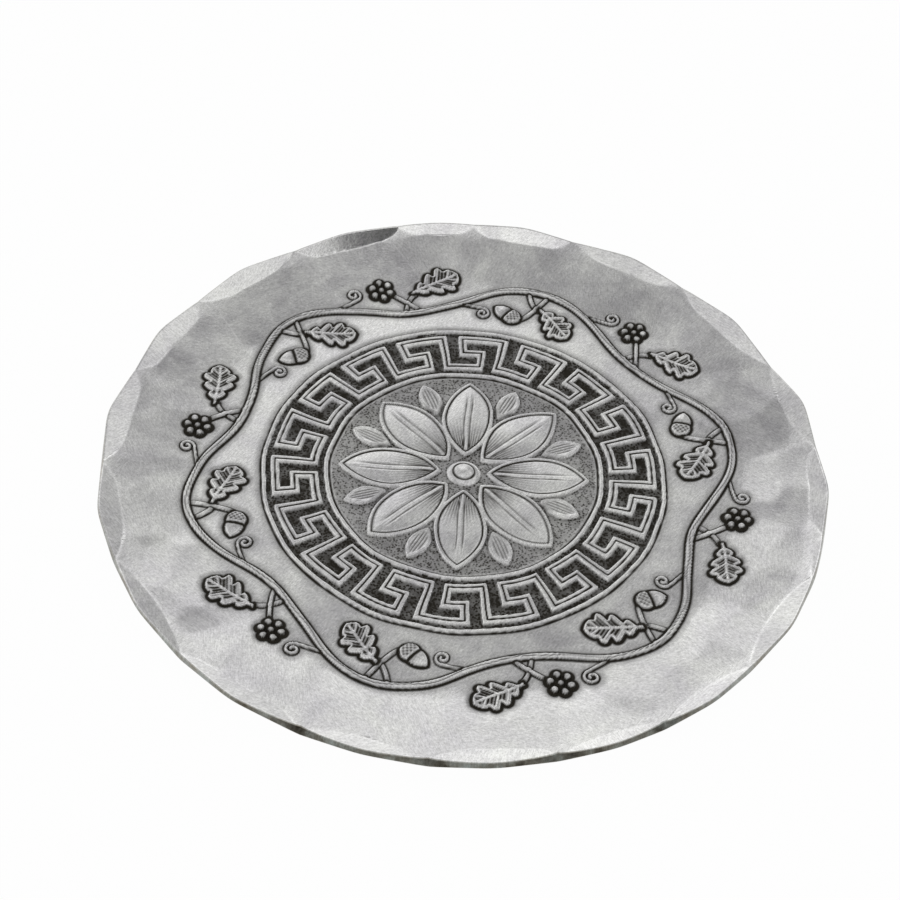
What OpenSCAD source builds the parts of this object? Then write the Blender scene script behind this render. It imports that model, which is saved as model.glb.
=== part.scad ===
// Wine bottle coaster: a shallow dish hand-hammered from one sheet of aluminium.
// The floor carries an embossed rosette, a key fret and an oak wreath. The border is left
// bare and planished, and four small clear bumpers stick to the underside.
// Millimetres, +Z up. The dish stands on its bumpers at z = 0, centred on its own outline.

/* [Sheet] */
// Nominal diameter across the hammered rim
coaster_d = 140; // [136:1:152]
// Thickness of the aluminium sheet
sheet_t = 1.25; // [1:0.05:1.6]
// Diameter of the flat floor, where the shoulder starts to rise
floor_d = 92; // [88:1:98]
// Rise of the shoulder from the floor to the rim
shoulder_rise = 2.6; // [2:0.1:3.2]

/* [Hammering] */
// How much steeper the rim flats lie than the shoulder's curve at the rim, in degrees
rim_flat_tilt = 3; // [2.4:0.1:3.6]
// How far inside the rim's circle two rim flats meet
rim_cusp_inset = 0.9; // [0.6:0.1:1.2]
// How much steeper still the underside of a rim flat lies, which thins its edge, in degrees
rim_thinning_tilt = 12; // [6:1:14]
// How far each broad shoulder flat stands proud of the shoulder's curve
shoulder_flat_depth = 0.22; // [0.12:0.02:0.3]

/* [Rosette] */
// Height of the embossed work above the sheet
relief_h = 0.5; // [0.3:0.05:0.7]
// Diameter of the domed boss at the middle
boss_d = 7; // [5:0.5:8]
// Height of the boss above the floor
boss_h = 1; // [0.8:0.1:1.4]
// Clear width between the boss and the petals
boss_gap = 1; // [0.6:0.1:1.4]
// Diameter across the tips of the petals
rosette_d = 49; // [45:1:50]
// Width of a petal at its broadest
petal_w = 10.4; // [8:0.2:11]
// Length of a sepal between two petals
sepal_l = 8.6; // [6:0.2:9]
// Width of a sepal at its broadest
sepal_w = 4.2; // [3:0.2:4.6]

/* [Fret] */
// Inner diameter of the fret band
fret_inner_d = 56; // [55:0.5:58]
// Outer diameter of the fret band
fret_outer_d = 75; // [73:0.5:76]
// Width of the two raised rings that frame the fret
ring_w = 0.8; // [0.6:0.1:1]
// Clear width between the fret and each framing ring
ring_gap = 0.9; // [0.6:0.1:1]

/* [Wreath] */
// Mean diameter of the winding stem
wreath_d = 99; // [98:0.5:101]
// How far the stem swings to each side of its mean circle
stem_swing = 4; // [3.4:0.1:4.4]
// Width of the stem
stem_w = 1.1; // [0.8:0.1:1.3]
// Width of the stalks that carry leaves, acorns and berries
stalk_w = 0.9; // [0.7:0.1:1.1]
// Distance of each leaf, acorn and cluster from the stem's mean circle
bay_offset = 3.6; // [3:0.1:4]
// Length of an oak leaf
leaf_l = 10.5; // [9:0.1:11]
// Width of an oak leaf over its lobes
leaf_w = 6.4; // [5.4:0.1:6.8]
// Length of an acorn's nut
nut_l = 5.6; // [4.6:0.1:6]
// Width of an acorn's nut
nut_w = 3.4; // [2.8:0.1:3.6]
// Diameter of an acorn's cup
cup_d = 3.7; // [3.4:0.1:4.2]
// Diameter of one berry
berry_d = 1.8; // [1.5:0.05:1.85]
// Distance between neighbouring berries of a cluster
berry_pitch = 1.9; // [1.88:0.02:2.1]
// How far the middle of a berry lies below the sheet's face
berry_sink = 0.2; // [0.1:0.05:0.3]

/* [Bumpers] */
// Diameter of a bumper where it sticks to the sheet
foot_d = 9.5; // [8:0.5:10]
// Height of a bumper
foot_h = 1.75; // [1.4:0.05:2.4]
// Diameter of the flat face that a bumper rests on
foot_face_d = 6; // [5:0.5:7]
// Diameter of the circle that the bumpers lie on
foot_circle_d = 76; // [68:1:77]

/* [Hidden] */

$fn = 96;
// Every cutter runs this far past what it cuts
overrun = 4;
full_turn = 360;

coaster_r = coaster_d / 2;
floor_r = floor_d / 2;
floor_z = foot_h + sheet_t;

// Angles at which one shoulder flat ends and the next begins, going round from the right
crease_angles = [9.5, 31, 52, 73.5, 91.5, 106.5, 122.3, 144.3, 163.7, 181,
    205, 226, 246, 259.5, 273, 286.8, 299.5, 314.4, 332, 350.5];
// Depth of each shoulder flat, as a share of the named depth
shoulder_depth_share = [1.0, 0.8, 1.1, 0.9, 0.7, 1.0, 1.2, 0.9, 1.1, 0.8,
    1.0, 1.2, 0.8, 0.9, 1.1, 0.8, 1.0, 0.9, 1.2, 0.9];
// Place of each shoulder flat, as a share of the way from the floor to the rim
shoulder_place_share = [0.56, 0.62, 0.54, 0.60, 0.64, 0.58, 0.55, 0.62, 0.57, 0.60,
    0.55, 0.61, 0.57, 0.63, 0.58, 0.62, 0.56, 0.60, 0.55, 0.61];
// Angles at which one rim flat ends and the next begins
cusp_angles = [9.4, 28.4, 51.8, 73.4, 91.3, 104.6, 124.2, 144.8, 163.8, 184.6,
    205.2, 226.4, 248.6, 267.8, 286.6, 303.4, 320.3, 341.2, 350.2];
// Tilt of each rim flat, as a share of the named tilt
rim_tilt_share = [1.22, 1.87, 1.70, 0.42, 0.33, 0.53, 1.23, 0.48, 0.73, 1.03,
    1.87, 1.26, 1.37, 0.37, 1.21, 1.27, 1.43, 1.13, 1.11];
// Reach of the outline where each rim flat begins and at its middle, as shares of the rim's radius
cusp_reach_share = [0.996, 0.990, 0.997, 0.9965, 1.003, 1.005, 0.998, 1.000, 0.996, 0.994,
    0.997, 0.997, 0.996, 0.9975, 0.9945, 0.9998, 0.998, 1.002, 0.998];
middle_reach_share = [1.009, 1.003, 1.006, 1.007, 1.005, 1.005, 1.008, 1.009, 1.008, 1.006,
    1.0035, 1.006, 1.001, 1.0005, 1.0025, 1.0055, 1.008, 0.999, 1.007];
// Reach of a shoulder blow along and across the slope, as shares of the shoulder's width
shoulder_blow_share = [0.7, 1.3];
// Reach of a rim blow down the slope, as a share of the shoulder's width, and along the rim,
// as a share of the chord between its two cusps
rim_blow_share = [0.5, 1.12];

function next_angle(angles, i) = i + 1 < len(angles) ? angles[i + 1] : angles[0] + full_turn;
function flat_mid(angles, i) = (angles[i] + next_angle(angles, i)) / 2;
function flat_half(angles, i) = (next_angle(angles, i) - angles[i]) / 2;
function at(r, turn) = r * [cos(turn), sin(turn)];

// The shoulder rises as a parabola, so it leaves the floor with no crease
shoulder_w = coaster_r - floor_r;
shoulder_steps = 6;
function shoulder_z(r) = shoulder_rise * pow(max(r - floor_r, 0) / shoulder_w, 2);
function shoulder_slope(r) = atan(2 * shoulder_rise * (r - floor_r) / pow(shoulder_w, 2));

// Outline of the sheet: straight sides from each cusp to the middle of each rim flat
outline = [for (i = [0:len(cusp_angles) - 1]) each [
    at(coaster_r * cusp_reach_share[i], cusp_angles[i]),
    at(coaster_r * middle_reach_share[i], flat_mid(cusp_angles, i))]];
outline_x = [for (p = outline) p[0]];
outline_y = [for (p = outline) p[1]];
outline_mid = [(min(outline_x) + max(outline_x)) / 2, (min(outline_y) + max(outline_y)) / 2];

// Rosette
petal_count = 8;
petal_turn = full_turn / petal_count;
petal_inner_r = boss_d / 2 + boss_gap;
petal_l = rosette_d / 2 - petal_inner_r;

// The fret is one line that turns back on itself. It is drawn on a grid whose cell is as wide
// as the line: six cells to a repeat, five cells high. Each side of the line has its corners.
fret_count = 18;
fret_cells = 6;
fret_rows = 5;
fret_outer_side_share = [[-0.5, 0.5], [-0.5, 4.5], [1, 4.5], [2.5, 4.5], [4.5, 4.5],
    [4.5, 1.5], [2.5, 1.5], [2.5, 0.5], [4, 0.5]];
fret_inner_side_share = [[0.5, -0.5], [0.5, 3.5], [2, 3.5], [3.5, 3.5], [3.5, 2.5],
    [1.5, 2.5], [1.5, -0.5], [3, -0.5], [5, -0.5]];
fret_cell_h = (fret_outer_d - fret_inner_d) / 2 / fret_rows;
function fret_ring(side) = [for (n = [0:fret_count - 1]) for (p = side)
    at(fret_inner_d / 2 + (p[1] + 0.5) * fret_cell_h, full_turn / fret_count * (n + p[0] / fret_cells))];

// Wreath: the stem is a wave with a bay on each side of every swing
wreath_r = wreath_d / 2;
wave_count = 6;
wave_steps = 120;
bay_count = 2 * wave_count;
bay_turn = full_turn / bay_count;
leaf_turn = -5.5;
fruit_turn = 7;
leaf_lean_angle = 28;
nut_lean_angle = 30;
cluster_count = 6;
function stem_r(turn) = wreath_r + stem_swing * sin(wave_count * turn);
function stem_ring(side) = [for (i = [0:wave_steps - 1]) let (turn = full_turn * i / wave_steps)
    at(stem_r(turn) + side * stem_w / 2, turn)];
// Half an oak leaf from stalk to tip: share of the length, share of the half width
leaf_half_share = [[0, 0.08], [0.12, 0.09], [0.17, 0.3], [0.23, 0.48], [0.29, 0.5], [0.33, 0.34],
    [0.39, 0.6], [0.46, 0.86], [0.53, 0.88], [0.57, 0.56], [0.63, 0.8], [0.69, 1], [0.76, 0.94],
    [0.79, 0.6], [0.85, 0.62], [0.91, 0.5], [0.96, 0.3], [1, 0]];
// Place of the cup along the nut, as a share of the nut's length
cup_place_share = 0.25;

// A pointed oval, bounded by two equal arcs
module almond(length, width) {
    arc_r = (length * length + width * width) / (4 * width);
    intersection_for (side = [-1, 1])
        translate([0, side * (arc_r - width / 2)])
            circle(r = arc_r);
}

module ring_outline(inner_r, width) {
    difference() {
        circle(r = inner_r + width);
        circle(r = inner_r);
    }
}

module rosette_outline() {
    for (i = [0:petal_count - 1]) {
        rotate(i * petal_turn)
            translate([petal_inner_r + petal_l / 2, 0])
                almond(petal_l, petal_w);
        rotate((i + 0.5) * petal_turn)
            translate([rosette_d / 2 - sepal_l / 2, 0])
                almond(sepal_l, sepal_w);
    }
}

module fret_outline() {
    ring_outline(fret_inner_d / 2 - ring_gap - ring_w, ring_w);
    ring_outline(fret_outer_d / 2 + ring_gap, ring_w);
    difference() {
        polygon(fret_ring(fret_outer_side_share));
        polygon(fret_ring(fret_inner_side_share));
    }
}

module oak_leaf() {
    steps = len(leaf_half_share);
    right = [for (p = leaf_half_share) [(p[0] - 0.5) * leaf_l, p[1] * leaf_w / 2]];
    left = [for (i = [steps - 2:-1:0]) [right[i][0], -right[i][1]]];
    polygon(concat(right, left));
}

module acorn() {
    almond(nut_l, nut_w);
    translate([(cup_place_share - 0.5) * nut_l, 0])
        circle(d = cup_d);
}

// A stalk from the stem's crest out to a point at distance r, turned round the axis
module stalk(side, r, turn) {
    root = at(wreath_r - side * stem_swing, 0);
    tip = at(r, turn);
    run = tip - root;
    translate((root + tip) / 2)
        rotate(atan2(run[1], run[0]))
            almond(norm(run), stalk_w);
}

module bay_outline(side) {
    r = wreath_r + side * bay_offset;
    rotate(leaf_turn)
        translate([r, 0])
            rotate(-90 + side * leaf_lean_angle)
                oak_leaf();
    stalk(side, r, leaf_turn / 4);
    stalk(side, r, fruit_turn);
    if (side < 0)
        rotate(fruit_turn)
            translate([r, 0])
                rotate(90 - nut_lean_angle)
                    acorn();
}

module wreath_outline() {
    difference() {
        polygon(stem_ring(1));
        polygon(stem_ring(-1));
    }
    for (k = [0:bay_count - 1])
        rotate((k + 0.5) * bay_turn)
            bay_outline(k % 2 == 0 ? -1 : 1);
}

// A berry is the upper half of a ball, rooted in the sheet
module berry() {
    intersection() {
        sphere(d = berry_d);
        translate([-berry_d, -berry_d, 0])
            cube(2 * berry_d);
    }
}

module berry_clusters() {
    r = wreath_r + bay_offset;
    for (k = [1:2:bay_count - 1])
        rotate((k + 0.5) * bay_turn + fruit_turn)
            translate([r, 0, floor_z + shoulder_z(r) - berry_sink]) {
                berry();
                for (j = [0:cluster_count - 1])
                    rotate(j * full_turn / cluster_count)
                        translate([berry_pitch, 0, 0])
                            berry();
            }
}

// A cap of a ball, as wide as the boss and as high
module boss() {
    ball_r = (pow(boss_d / 2, 2) + pow(boss_h, 2)) / (2 * boss_h);
    translate([0, 0, floor_z - sheet_t / 2])
        intersection() {
            translate([0, 0, sheet_t / 2 + boss_h - ball_r])
                sphere(r = ball_r);
            cylinder(d = boss_d, h = 2 * ball_r);
        }
}

// Everything embossed, as columns that rise through the sheet
module raised_columns() {
    linear_extrude(height = floor_z + shoulder_rise + overrun) {
        rosette_outline();
        fret_outline();
        wreath_outline();
    }
}

// A hammer blow: a slab whose upper face passes through height z at distance r, rising outwards
module blow(turn, r, z, slope, length, width) {
    slab_t = shoulder_rise / 2;
    rotate([0, 0, turn])
        translate([r, 0, z])
            rotate([0, -slope, 0])
                translate([-length / 2, -width / 2, -slab_t])
                    cube([length, width, slab_t]);
}

module shoulder_blow(i) {
    r = floor_r + shoulder_place_share[i] * shoulder_w;
    z = shoulder_z(r) + shoulder_flat_depth * shoulder_depth_share[i];
    size = shoulder_w * shoulder_blow_share;
    blow(flat_mid(crease_angles, i), r, z, shoulder_slope(r), size[0], size[1]);
}

// A rim flat lies on the chord between its two cusps and narrows towards each
module rim_blow(i, thinning) {
    cusp_r = coaster_r - rim_cusp_inset;
    half = flat_half(cusp_angles, i);
    slope = shoulder_slope(coaster_r) + rim_flat_tilt * rim_tilt_share[i] + thinning;
    length = shoulder_w * rim_blow_share[0];
    width = 2 * cusp_r * sin(half) * rim_blow_share[1];
    blow(flat_mid(cusp_angles, i), cusp_r * cos(half), shoulder_z(cusp_r), slope, length, width);
}

// All the space above the sheet's hammered face, raised by the given level
module space_above(level, thinning = 0) {
    reach = coaster_r + overrun;
    ceiling = shoulder_z(reach) + overrun;
    curve = [for (i = [0:shoulder_steps]) let (r = floor_r + i / shoulder_steps * (reach - floor_r))
        [r, shoulder_z(r)]];
    translate([0, 0, floor_z + level])
        difference() {
            rotate_extrude()
                polygon(concat([[0, 0]], curve, [[reach, ceiling], [0, ceiling]]));
            for (i = [0:len(crease_angles) - 1])
                shoulder_blow(i);
            for (i = [0:len(cusp_angles) - 1])
                rim_blow(i, thinning);
        }
}

// The cut edge is square to the sheet, so the blank narrows upwards. Its outline holds where
// the rim's underside lies.
module blank() {
    lean = tan(shoulder_slope(coaster_r) + rim_flat_tilt) / coaster_r;
    widest = 1 + shoulder_rise * lean;
    above = sheet_t + overrun;
    translate([0, 0, foot_h])
        linear_extrude(height = shoulder_rise + above, scale = (1 - above * lean) / widest)
            scale(widest)
                polygon(outline);
}

module centred_on_outline() {
    translate([-outline_mid[0], -outline_mid[1], 0])
        children();
}

module dish() {
    color("silver")
        centred_on_outline()
            union() {
                difference() {
                    intersection() {
                        blank();
                        space_above(-sheet_t, rim_thinning_tilt);
                    }
                    difference() {
                        space_above(0);
                        raised_columns();
                    }
                    space_above(relief_h);
                }
                berry_clusters();
                boss();
            }
}

// A clear bumper: a low dome with a flat face to rest on
module foot(side, end) {
    dome_z = (pow(foot_d / 2, 2) - pow(foot_face_d / 2, 2) + foot_h * foot_h) / (2 * foot_h);
    color("gainsboro", 0.6)
        centred_on_outline()
            translate([side, end, 0] * foot_circle_d / 2 * sqrt(0.5))
                intersection() {
                    translate([0, 0, dome_z])
                        sphere(r = norm([dome_z, foot_face_d / 2]));
                    cylinder(d = 2 * foot_d, h = foot_h);
                }
}

dish();
foot(-1, -1);  // foot_front_left
foot(1, -1);  // foot_front_right
foot(-1, 1);  // foot_back_left
foot(1, 1);  // foot_back_right
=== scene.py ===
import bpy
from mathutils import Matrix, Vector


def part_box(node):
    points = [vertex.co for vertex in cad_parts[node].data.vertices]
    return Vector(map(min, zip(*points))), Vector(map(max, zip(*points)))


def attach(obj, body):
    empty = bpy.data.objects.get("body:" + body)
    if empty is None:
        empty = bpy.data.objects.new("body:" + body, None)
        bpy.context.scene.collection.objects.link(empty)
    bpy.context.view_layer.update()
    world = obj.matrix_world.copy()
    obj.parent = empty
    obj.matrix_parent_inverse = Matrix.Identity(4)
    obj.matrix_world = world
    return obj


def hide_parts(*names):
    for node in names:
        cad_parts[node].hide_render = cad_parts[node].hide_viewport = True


bl_info = {
    "name": "Hammered bottle coaster",
    "version": (1, 0, 0),
    "blender": (4, 5, 0),
    "location": "3D View > Sidebar > Coaster",
    "description": "Makes a hammered, embossed sheet metal coaster, its bumpers and its studio",
    "category": "Object",
}

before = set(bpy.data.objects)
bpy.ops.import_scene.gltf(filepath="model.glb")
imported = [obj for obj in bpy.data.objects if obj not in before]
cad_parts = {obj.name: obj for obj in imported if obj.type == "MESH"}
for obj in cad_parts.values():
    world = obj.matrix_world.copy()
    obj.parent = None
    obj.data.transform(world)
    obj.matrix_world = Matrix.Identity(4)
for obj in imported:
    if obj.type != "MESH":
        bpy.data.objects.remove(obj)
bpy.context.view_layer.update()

import math

import bpy
import numpy as np
from bpy.props import FloatProperty, FloatVectorProperty, IntProperty, PointerProperty
from mathutils import Matrix, Vector

MM = 0.001
TURN = 2 * math.pi

# Sizes of the solids, in millimetres, as the part's source has them
COASTER_R = 70.0
SHEET_T = 1.25
FLOOR_R = 46.0
SHOULDER_RISE = 2.6
SHOULDER_W = COASTER_R - FLOOR_R
RIM_FLAT_TILT, RIM_THINNING_TILT, RIM_CUSP_INSET = 3.0, 12.0, 0.9
SHOULDER_FLAT_DEPTH = 0.22
FOOT_H = 1.75
FOOT_D = 9.5
FOOT_FACE_D = 6.0
FOOT_CIRCLE_D = 76.0
FLOOR_Z = FOOT_H + SHEET_T

RELIEF_H = 0.5
BOSS_R, BOSS_H = 3.5, 1.0
PETAL_COUNT = 8
PETAL_INNER_R, ROSETTE_R = 4.5, 24.5
PETAL_W = 10.4
SEPAL_L, SEPAL_W = 8.6, 4.2
FRET_INNER_R, FRET_OUTER_R = 28.0, 37.5
RING_W, RING_GAP = 0.8, 0.9
FRET_COUNT, FRET_CELLS, FRET_ROWS = 18, 6, 5
WREATH_R, STEM_SWING, STEM_W, STALK_W = 49.5, 4.0, 1.1, 0.9
WAVE_COUNT = 6
BAY_COUNT = 2 * WAVE_COUNT
BAY_OFFSET = 3.6
LEAF_L, LEAF_W = 10.5, 6.4
NUT_L, NUT_W, CUP_D = 5.6, 3.4, 3.7
BERRY_R, BERRY_PITCH, BERRY_SINK, BERRY_COUNT = 0.9, 1.9, 0.2, 6
LEAF_TURN, FRUIT_TURN, LEAF_LEAN, NUT_LEAN = -5.5, 7.0, 28.0, 30.0
# Angles from a bay's middle to where its leaf's stalk, its fruit's stalk and its tendril leave the
# stem, and to the tendril's curl, whose middle lies so far from the stem's own circle
LEAF_ROOT, FRUIT_ROOT, TENDRIL_ROOT, CURL_TURN, CURL_OFFSET = 3.2, -1.5, 19.5, 13.2, 4.3

# What only the Blender model adds, in millimetres
MOAT_DEPTH, DEEP_MOAT_DEPTH = 0.16, 0.2
ROSETTE_FIELD_DEPTH, FRET_FIELD_DEPTH = 0.14, 0.2
# A raised shape's edge runs from EDGE_OUT to EDGE_IN, measured from its outline
EDGE_OUT, EDGE_IN = 0.12, -0.16
# The faint stain beyond a moat: its share of the moat's patina, and how far out it ends
HAZE_SHARE, HAZE_REACH = 0.36, 2.3
# How far round a shape its moat and stain are laid
WINDOW = 3.0
# Widths over which the ridges between two flats are rounded
SHOULDER_CREASE, RIM_CREASE = 0.02, 0.013
# The upper edge stands back behind the lower one: at the cusps on all sides, more at the cusps in
# front, and along the whole of the front
CUSP_NOTCH, FRONT_CUSP_NOTCH, FRONT_NOTCH = 0.12, 0.65, 0.24
CORNER_EASING = 0.04
# Planishing marks: their spacing, their share on the rim's flats and on the floor
BORDER_SPACING, BACK_SPACING = 11.0, 8.5
RIM_FLAT_MARKS, FLOOR_MARKS = 0.1, 0.45
# The underside: its marks, its share of the relief, and how far it is lifted and drawn in
BACK_MARK_DEPTH, BACK_ECHO, BACK_LIFT, BACK_INSET = 0.09, 0.3, 0.05, 0.3
# Steps of each rounding of the edge
ROUNDING_STEPS = 5
# Cells of the face's grid to one of the underside's
BACK_STEP = 4

# How dark the patina is in the two sunk fields, and how pitted the fret's ground
ROSETTE_FIELD_PATINA, FRET_FIELD_PATINA, FRET_FIELD_STIPPLE = 0.7, 0.93, 0.95

# The aluminium's finish: how far each of its marks takes the tone of the metal
CLOUD_TONE, GRAIN_TONE, STROKE_TONE = (0.79, 1.04), (0.8, 1.2), (0.82, 1.16)
FLAT_TONE, RIM_FLAT_TONE = 0.06, 0.04
# The first number brightens the rim flats, burnished by the hammer, and also paints a highlight
# along the creases between flats
# The pair after it darkens the cut edge: partly its dark oxide, partly painted shade
POLISH_AND_HIGHLIGHT_TONE, EDGE_OXIDE_AND_SHADE_TONE = 1.16, (0.02, 0.36)
WARM_STAIN, COOL_STAIN = (0.75, 0.66, 0.5), (0.7, 0.76, 0.72)
PIT_LIGHTENING, PATINA_SPAN, PATINA_ROUGHNESS = -0.36, (0.05, 0.8), 0.6
RIM_ROUGHNESS = (0.06, 0.09)

# The room that the sheet mirrors: brightness by height, from 0 at the horizon to 1 overhead.
# Ahead, the height counts as higher by ROOM_LEAN of the way to the right
AHEAD_LEVELS = [
    (0.0, 0.7), (0.42, 0.74), (0.69, 0.82), (0.726, 0.46), (0.76, 0.4), (0.82, 0.34),
    (0.87, 0.36), (0.895, 0.47), (0.918, 0.77), (0.94, 0.7), (1.0, 0.55)]
LEFT_LEVELS = [
    (0.0, 0.4), (0.49, 0.37), (0.58, 0.38), (0.65, 0.41), (0.69, 0.52), (0.73, 0.6),
    (0.78, 0.62), (0.83, 0.58), (0.88, 0.62), (0.93, 0.6), (1.0, 0.55)]
RIGHT_LEVELS = [
    (0.0, 0.58), (0.45, 0.66), (0.52, 0.61), (0.575, 0.54), (0.63, 0.48), (0.7, 0.46),
    (0.83, 0.43), (0.875, 0.5), (0.92, 0.58), (1.0, 0.55)]
ROOM_LEAN, ROOM_STRENGTH = 0.3, 1.27
# Up to here metal sees the white background too: heights where it ends and where it is whole
WHITE_TOP = (0.36, 0.3)
# Duller places in the room: direction, inner and outer reach, and the share of light left
DULL_PLACES = [
    ((0.12, 0.395, 0.912), 0.027, 0.034, 0.05),
    ((0.05, 0.62, 0.78), 0.03, 0.09, 0.86)]
FLOOR_HALF, FLOOR_GLOW = 6.0, 0.97
LAMP_PLACE, LAMP_SIZE, LAMP_WATTS = (-1.6, 0.2, 1.1), 1.5, 0.7
LENS, SENSOR_W = 85, 36
SHIFT_X, SHIFT_Y = -0.01573, 0.03607

# Where one shoulder flat ends and the next begins, in degrees, and what differs from flat to flat
CREASES = [9.5, 31, 52, 73.5, 91.5, 106.5, 122.3, 144.3, 163.7, 181,
           205, 226, 246, 259.5, 273, 286.8, 299.5, 314.4, 332, 350.5]
SHOULDER_DEPTH_SHARE = [1.0, 0.8, 1.1, 0.9, 0.7, 1.0, 1.2, 0.9, 1.1, 0.8,
                        1.0, 1.2, 0.8, 0.9, 1.1, 0.8, 1.0, 0.9, 1.2, 0.9]
SHOULDER_PLACE_SHARE = [0.56, 0.62, 0.54, 0.60, 0.64, 0.58, 0.55, 0.62, 0.57, 0.60,
                        0.55, 0.61, 0.57, 0.63, 0.58, 0.62, 0.56, 0.60, 0.55, 0.61]
# The same for the rim flats, and the reach of the outline at each cusp and each flat's middle,
# all fitted to the photographed rim
CUSPS = [9.4, 28.4, 51.8, 73.4, 91.3, 104.6, 124.2, 144.8, 163.8, 184.6,
         205.2, 226.4, 248.6, 267.8, 286.6, 303.4, 320.3, 341.2, 350.2]
RIM_TILT_SHARE = [1.22, 1.87, 1.70, 0.42, 0.33, 0.53, 1.23, 0.48, 0.73, 1.03,
                  1.87, 1.26, 1.37, 0.37, 1.21, 1.27, 1.43, 1.13, 1.11]
CUSP_REACH = [0.996, 0.990, 0.997, 0.9965, 1.003, 1.005, 0.998, 1.000, 0.996, 0.994,
              0.997, 0.997, 0.996, 0.9975, 0.9945, 0.9998, 0.998, 1.002, 0.998]
MIDDLE_REACH = [1.009, 1.003, 1.006, 1.007, 1.005, 1.005, 1.008, 1.009, 1.008, 1.006,
                1.0035, 1.006, 1.001, 1.0005, 1.0025, 1.0055, 1.008, 0.999, 1.007]

FIRST_RIM_FLAT = len(CREASES) + 1

# Half an oak leaf from stalk to tip: share of the length, share of the half width
LEAF_HALF = [(0, 0.08), (0.12, 0.09), (0.17, 0.3), (0.23, 0.48), (0.29, 0.5), (0.33, 0.34),
             (0.39, 0.6), (0.46, 0.86), (0.53, 0.88), (0.57, 0.56), (0.63, 0.8), (0.69, 1),
             (0.76, 0.94), (0.79, 0.6), (0.85, 0.62), (0.91, 0.5), (0.96, 0.3), (1, 0)]
# Side veins of a leaf: where each leaves the midrib and where it ends, as the same shares
LEAF_VEINS = [((0.14, 0), (0.27, 0.42)), ((0.33, 0), (0.5, 0.78)), ((0.52, 0), (0.73, 0.88)),
              ((0.74, 0), (0.89, 0.46))]

# The key fret's line and its two sides over one repeat, in cells: along the band, across it
FRET_LINE = [(0, 0), (0, 4), (4, 4), (4, 2), (2, 2), (2, 0), (6, 0)]
FRET_SIDES = [
    [(-0.5, 0.5), (-0.5, 4.5), (4.5, 4.5), (4.5, 1.5), (2.5, 1.5), (2.5, 0.5), (5.5, 0.5)],
    [(0.5, -0.5), (0.5, 3.5), (3.5, 3.5), (3.5, 2.5), (1.5, 2.5), (1.5, -0.5), (6.5, -0.5)],
]


# ---------------------------------------------------------------- settings


class DishSettings(bpy.types.PropertyGroup):
    ring_count: IntProperty(
        name="Rings", description="Rings of mesh points from the axis to the rim; a multiple of 4",
        default=280, min=40, max=400)
    edge_round: FloatProperty(
        name="Edge rounding", description="Radius of the sheet's edge where it was cut",
        default=0.2 * MM, unit="LENGTH")
    hammer_depth: FloatProperty(
        name="Planishing depth", description="Depth of the broad, soft hammer marks",
        default=0.07 * MM, unit="LENGTH")
    metal_colour: FloatVectorProperty(
        name="Aluminium", description="Colour of the bare sheet",
        default=(0.748, 0.75, 0.727), subtype="COLOR")
    cool_colour: FloatVectorProperty(
        name="Cool aluminium", description="Colour of the sheet in its cooler clouds",
        default=(0.728, 0.718, 0.732), subtype="COLOR")
    patina_colour: FloatVectorProperty(
        name="Patina", description="Colour of the dark finish left in the recesses",
        default=(0.026, 0.0225, 0.0165), subtype="COLOR")
    roughness: FloatProperty(
        name="Roughness", description="Roughness of the satin sheet",
        default=0.18, min=0, max=1, subtype="FACTOR")


class BumperSettings(bpy.types.PropertyGroup):
    tint: FloatVectorProperty(
        name="Tint", description="Colour of the clear soft plastic",
        default=(0.9, 0.92, 0.92), subtype="COLOR")
    shoulder_round: FloatProperty(
        name="Rounding", description="Radius between the dome and the flat that it rests on",
        default=0.35 * MM, unit="LENGTH")


class StudioSettings(bpy.types.PropertyGroup):
    floor_colour: FloatVectorProperty(
        name="Floor", description="Colour of the white sweep",
        default=(0.94, 0.94, 0.94), subtype="COLOR")
    camera_elevation: FloatProperty(
        name="Camera elevation", description="Height of the camera above the horizon",
        default=math.radians(47.94), subtype="ANGLE")
    camera_roll: FloatProperty(
        name="Camera roll", description="Turn of the camera about its own axis",
        default=math.radians(3.995), subtype="ANGLE")
    camera_distance: FloatProperty(
        name="Camera distance", description="From the lens to the middle of the coaster",
        default=413.2 * MM, unit="LENGTH")


# ---------------------------------------------------------------- shapes on the sheet


def ease(start, end, x):
    """From 0 at start to 1 at end, level at both."""
    t = np.clip((x - start) / (end - start), 0, 1)
    return t * t * (3 - 2 * t)


def fade(start, end, x):
    return 1 - ease(start, end, x)


def stroke(off, solid, edge):
    """1 within the stroke's solid half width and 0 beyond its edge."""
    return fade(solid, edge, np.abs(off))


def mix(a, b, share):
    return a + (b - a) * share


def soft_max(a, b, width):
    return (a + b + np.sqrt((a - b) ** 2 + width * width)) / 2


def turned(x, y, angle):
    """The same points in axes turned by that many degrees."""
    c, s = math.cos(math.radians(angle)), math.sin(math.radians(angle))
    return x * c + y * s, y * c - x * s


def line_distance(x, y, points, x_scale=1.0, y_scale=1.0):
    """Distance from each place to a line through the points, in stretched units."""
    least = np.full(np.shape(x), 1e9)
    for (ax, ay), (bx, by) in zip(points, points[1:]):
        px, py = (x - ax) * x_scale, (y - ay) * y_scale
        dx, dy = (bx - ax) * x_scale, (by - ay) * y_scale
        t = np.clip((px * dx + py * dy) / (dx * dx + dy * dy), 0, 1)
        least = np.minimum(least, np.hypot(px - t * dx, py - t * dy))
    return least


def inside_outline(x, y, points):
    """True where a place lies within the closed outline."""
    within = np.zeros(np.shape(x), bool)
    for (ax, ay), (bx, by) in zip(points, points[1:] + points[:1]):
        crosses = (ay > y) != (by > y)
        with np.errstate(divide="ignore", invalid="ignore"):
            at = ax + (y - ay) / (by - ay) * (bx - ax)
        within ^= crosses & (x < at)
    return within


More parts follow.
